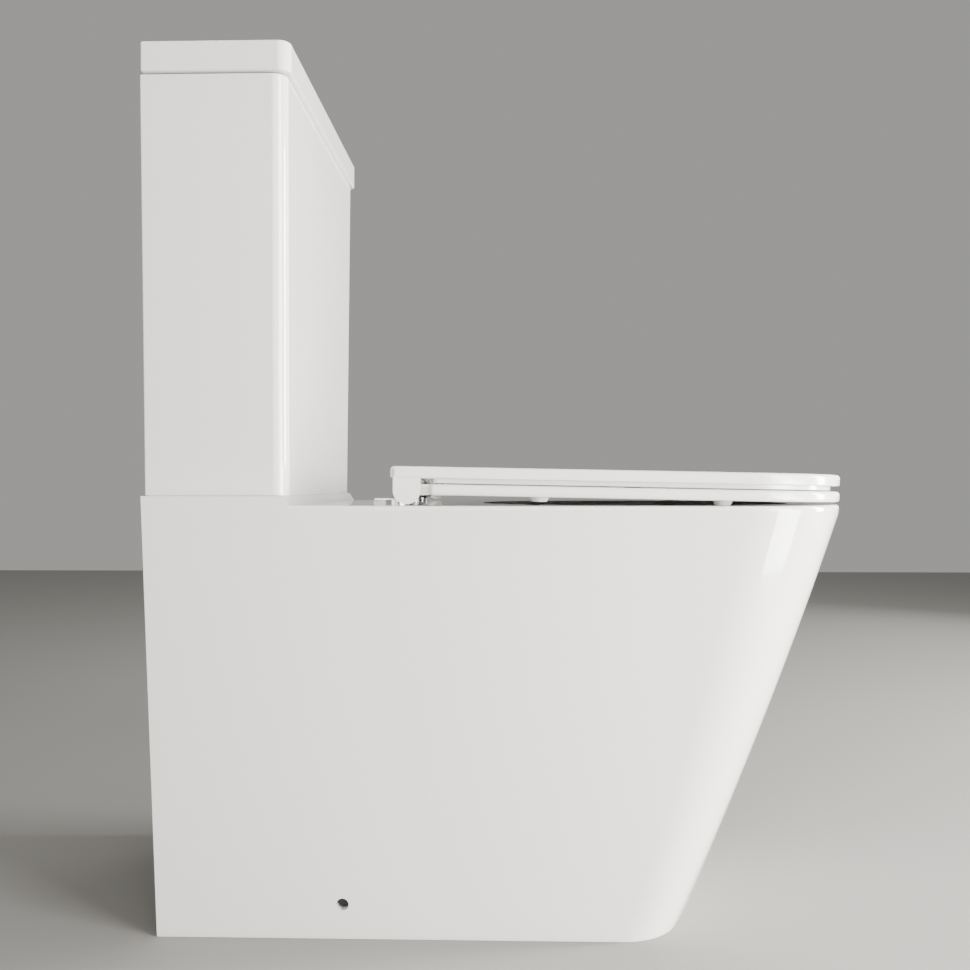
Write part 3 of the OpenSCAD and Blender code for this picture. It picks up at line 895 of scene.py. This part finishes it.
@dataclass
class SeatSet:
    """Seat ring, lid and the lid's inner panel, all in the hinge's tipped frame."""

    axis_d: float = 237.0
    axis_z: float = 418.5
    tilt: float = 1.07
    half: float = 182.0
    corner: float = 108.0
    front: float = 398.0
    tip: float = 654.0
    seat_lo: float = -7.3
    seat_hi: float = 2.6
    lid_lo: float = 7.6
    lid_hi: float = 18.1
    pin_r: float = 4.06
    ear_r: float = 12.1
    ear_drop: float = -3.4

    def tip_over(self, obj: bpy.types.Object) -> bpy.types.Object:
        """Carries a piece from the flat hinge frame to its place, fallen forward a little.

        Args:
            obj: The piece, with the hinge axis at height 0.

        Returns:
            The piece.
        """
        axis = Vector((0, at_wall(self.axis_d), 0))
        lift = Vector((0, at_wall(self.axis_d), self.axis_z * MM))
        turn = Matrix.Rotation(math.radians(self.tilt), 4, "X")
        obj.data.transform(Matrix.Translation(lift) @ turn @ Matrix.Translation(-axis))
        obj.data.update()
        return obj

    def barrel(self, x0: float, x1: float, r: float) -> bpy.types.Object:
        """A cylinder on the hinge axis, in millimetres."""
        start, end = ((x * MM, at_wall(self.axis_d), 0) for x in (x0, x1))
        return rod("barrel", start, end, r * MM, 48)

    def outline(self, e: float, back: float) -> DShape:
        """The seat's and lid's plan."""
        return DShape(self.half - e, self.corner - e, self.front - e, self.tip - e, back, 5.0)

    def seat(self) -> None:
        """Builds the seat ring on the seat's body."""
        back, lo, hi = self.axis_d + 19, self.seat_lo, self.seat_hi
        edge = ((lo, 2.4), (lo + 0.5, 1.0), (lo + 1.7, 0.2), (lo + 3, 0),
                (hi - 3.2, 0), (hi - 1.6, 0.5), (hi - 0.5, 1.6), (hi, 3.4))
        outer = [self.outline(e, back + e).ring(z) for z, e in edge]
        like = outer[0]
        hole = ((hi, 9.0), (hi - 0.6, 4.6), (hi - 2.2, 1.6), (hi - 4.4, 0.2),
                (lo + 2.2, 0.0), (lo + 0.6, 0.8), (lo, 2.6))
        inner = [oval(like, 452, 132 + e, 110 + e, z) for z, e in hole]
        obj = skin("seat_ring", outer + inner, closed=True)
        for s in (-1, 1):
            x0, x1 = sorted((s * 100.0, s * 172.0))
            lug = wall_block("lug", 36, (self.axis_d, self.axis_d + 23), (lo + 0.2, hi - 0.2), s * 136)
            add(obj, lug, self.barrel(x0, x1, 9.5))
            cut(obj, self.barrel(x0 - 1, x1 + 1, self.pin_r))
        cut(obj, self.barrel(120, 165, 7.5))
        smooth(self.tip_over(obj))
        dress(obj, Slot.SEAT, "seat", "seat_ring")

    def lid(self) -> None:
        """Builds the lid on its own body."""
        back, lo, hi = self.axis_d - 15.0, self.lid_lo, self.lid_hi
        pocket = ((13.6, 30), (13.6, 8), (lo, 8))
        rings = [self.outline(e, self.axis_d + 22 + e - 8).ring(z) for z, e in pocket]
        edge = ((lo, 1.6), (lo + 0.4, 0.5), (lo + 1.2, 0), (hi - 3.2, 0), (hi - 1.9, 0.35),
                (hi - 0.8, 1.1), (hi - 0.2, 2.2), (hi, 3.6), (hi, 30.0))
        rings += [self.outline(e, back + e).ring(z) for z, e in edge]
        obj = skin("seat_lid", rings)
        for s in (-1, 1):
            x0, x1 = sorted((s * 173.5, s * 181.5))
            ends = [(x * MM, at_wall(self.axis_d), self.ear_drop * MM) for x in (x0, x1)]
            ear = rod("ear", *ends, self.ear_r * MM, 64)
            depth = (self.axis_d - self.ear_r, self.axis_d + self.ear_r)
            add(ear, wall_block("ear", 4, depth, (self.ear_drop, lo + 1), s * 177.5))
            bevel(ear, 1.0, 3, lambda c, v: abs(abs(c.x) - 0.1815) < 1e-5 and c.z < 0.0075)
            knuckle = self.barrel(*sorted((s * 32.0, s * 56.0)), 9.5)
            add(obj, ear, knuckle)
            cut(obj, wall_block("n", 20.5, (self.axis_d - 20, self.axis_d + 14), (-20, 30), s * FIX.hinge_x),
                self.barrel(*sorted((s * 97.0, s * 173.2)), 10.4),
                self.barrel(*sorted((s * 30.0, s * 179.0)), self.pin_r))
        cut(obj, self.barrel(-54.2, -34, 7.5))
        smooth(self.tip_over(obj))
        dress(obj, Slot.SEAT, "lid", "seat_lid")

    def panel(self) -> None:
        """Builds the lid's inner panel."""
        lo, hi = self.seat_hi + 0.8, self.lid_lo + 5.8
        edge = ((hi, 30.0), (hi, 9.0), (hi - 0.7, 8.3),
                (lo + 1.0, 8.3), (lo + 0.3, 8.6), (lo, 9.4), (lo, 40.0))
        obj = skin("lid_underpanel", [self.outline(e, self.axis_d + 22 + e - 8).ring(z) for z, e in edge])
        smooth(self.tip_over(obj))
        dress(obj, Slot.SEAT, "lid", "lid_underpanel")

    def build(self) -> None:
        """Builds seat, lid and panel."""
        self.seat()
        self.lid()
        self.panel()


# ---------------------------------------------------------------- springs


@dataclass(frozen=True)
class ReturnSpring:
    """A button's coil spring, which stands in the housing."""

    node: str
    joint: str
    wire: float = 0.5
    turns: float = 7.0
    stroke: float = 8.0

    def build(self) -> None:
        """Builds the coil in its node's own box."""
        low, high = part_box(self.node)
        centre = (low + high) / 2
        radius = (high.x - low.x) / 2 - self.wire * MM
        rings: list[Ring] = []
        steps = int(self.turns * 28)
        for i in range(steps + 1):
            t = 2 * math.pi * self.turns * i / steps
            out = Vector((math.cos(t), math.sin(t), 0))
            z = low.z + self.wire * MM + (high.z - low.z - 2 * self.wire * MM) * i / steps
            middle = Vector((centre.x, centre.y, z)) + out * radius
            round_wire = (2 * math.pi * j / 10 for j in range(10))
            up, thick = Vector((0, 0, 1)), self.wire * MM * 0.98
            rings.append([middle + thick * (math.cos(u) * out + math.sin(u) * up) for u in round_wire])
        obj = smooth(skin(self.node, rings), 50)
        dress(obj, Slot.STEEL, "tank_lid", self.node)
        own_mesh(obj)


# ---------------------------------------------------------------- kept pieces


@dataclass
class KeptParts:
    """The frame's own small pieces, which only need their finishes."""

    skip: tuple[str, ...] = ("pan", "cistern", "cistern_lid", "seat_ring", "seat_lid", "lid_underpanel",
                             "full_flush_spring", "half_flush_spring")

    def build(self) -> None:
        """Gives each kept piece its procedural finish."""
        for part in frame["record"]["subparts"]:
            node = part["node"]
            if node in self.skip:
                continue
            obj = frame["nodes"][node]
            slot = Slot(part["material_slot"])
            obj.data.materials.clear()
            obj.data.materials.append(FINISHES[slot].material())
            log.info("kept %s as %s", node, slot.value)


# ---------------------------------------------------------------- studio


@dataclass(frozen=True)
class SoftLight:
    """An area light aimed at a point."""

    name: str
    place: tuple[float, float, float]
    aim: tuple[float, float, float]
    size: tuple[float, float]
    power: float
    colour: tuple[float, float, float] = (1.0, 0.985, 0.96)

    def build(self) -> None:
        """Hangs the light."""
        data = bpy.data.lights.new(self.name, "AREA")
        data.shape = "RECTANGLE"
        data.size, data.size_y = self.size
        data.energy = self.power
        data.color = self.colour
        obj = bpy.data.objects.new(self.name, data)
        bpy.context.scene.collection.objects.link(obj)
        obj.location = self.place
        obj.visible_camera = False
        obj.rotation_euler = (Vector(self.aim) - Vector(self.place)).to_track_quat("-Z", "Y").to_euler()


@dataclass
class Studio:
    """Floor, lights, surrounding light and camera."""

    lights: tuple[SoftLight, ...] = (
        SoftLight("window", (-1.45, -1.7, 0.8), (-0.1, -0.2, 0.35), (0.9, 1.4), 95.0),
        SoftLight("strip", (0.15, -2.1, 0.75), (0, -0.1, 0.5), (0.4, 1.2), 120.0),
        SoftLight("low_card", (-0.62, -1.0, 0.2), (-0.15, -0.25, 0.38), (0.42, 0.4), 16.0),
        SoftLight("overhead", (-0.6, -0.6, 2.6), (0, -0.2, 0.3), (2.4, 2.6), 42.0),
        SoftLight("side_fill", (-2.8, -0.3, 1.1), (0, 0, 0.4), (1.8, 1.8), 40.0),
        SoftLight("far_fill", (1.9, -1.5, 1.2), (0, 0, 0.4), (1.2, 1.6), 20.0),
    )
    world: tuple[float, float, float] = (0.40, 0.395, 0.38)
    world_strength: float = 0.9
    floor: tuple[float, float, float] = (0.27, 0.262, 0.248)
    lens: float = 38.97
    shift_x: float = -0.00206
    eye: tuple[float, float, float] = (-1.1077, WALL - 0.3348, 0.4199)
    heading: float = -88.36

    def build(self) -> None:
        """Sets the studio up."""
        clear_selection()
        bpy.ops.mesh.primitive_plane_add(size=8, location=(0, 0, 0))
        floor = settle(bpy.context.object, "studio_floor")
        mat = bpy.data.materials.new("studio_floor_finish")
        mat.use_nodes = True
        shader = mat.node_tree.nodes["Principled BSDF"]
        shader.inputs["Base Color"].default_value = (*self.floor, 1)
        shader.inputs["Roughness"].default_value = 0.85
        floor.data.materials.append(mat)
        for light in self.lights:
            light.build()
        world = bpy.context.scene.world or bpy.data.worlds.new("studio")
        bpy.context.scene.world = world
        world.use_nodes = True
        back = world.node_tree.nodes.get("Background")
        back.inputs["Color"].default_value = (*self.world, 1)
        back.inputs["Strength"].default_value = self.world_strength
        data = bpy.data.cameras.new("camera")
        data.sensor_width, data.lens = 36.0, self.lens
        data.shift_x = self.shift_x
        cam = bpy.data.objects.new("camera", data)
        bpy.context.scene.collection.objects.link(cam)
        cam.location = self.eye
        cam.rotation_euler = (math.radians(90), 0, math.radians(self.heading))
        bpy.context.scene.camera = cam


def main() -> None:
    """Builds every piece, then the studio."""
    logging.basicConfig(level=logging.INFO, format="%(name)s %(message)s")
    Pan().build()
    Cistern().build()
    CisternLid().build()
    SeatSet().build()
    ReturnSpring("full_flush_spring", "full_flush_press").build()
    ReturnSpring("half_flush_spring", "half_flush_press").build()
    KeptParts().build()
    Studio().build()


if __name__ == "__main__":
    main()
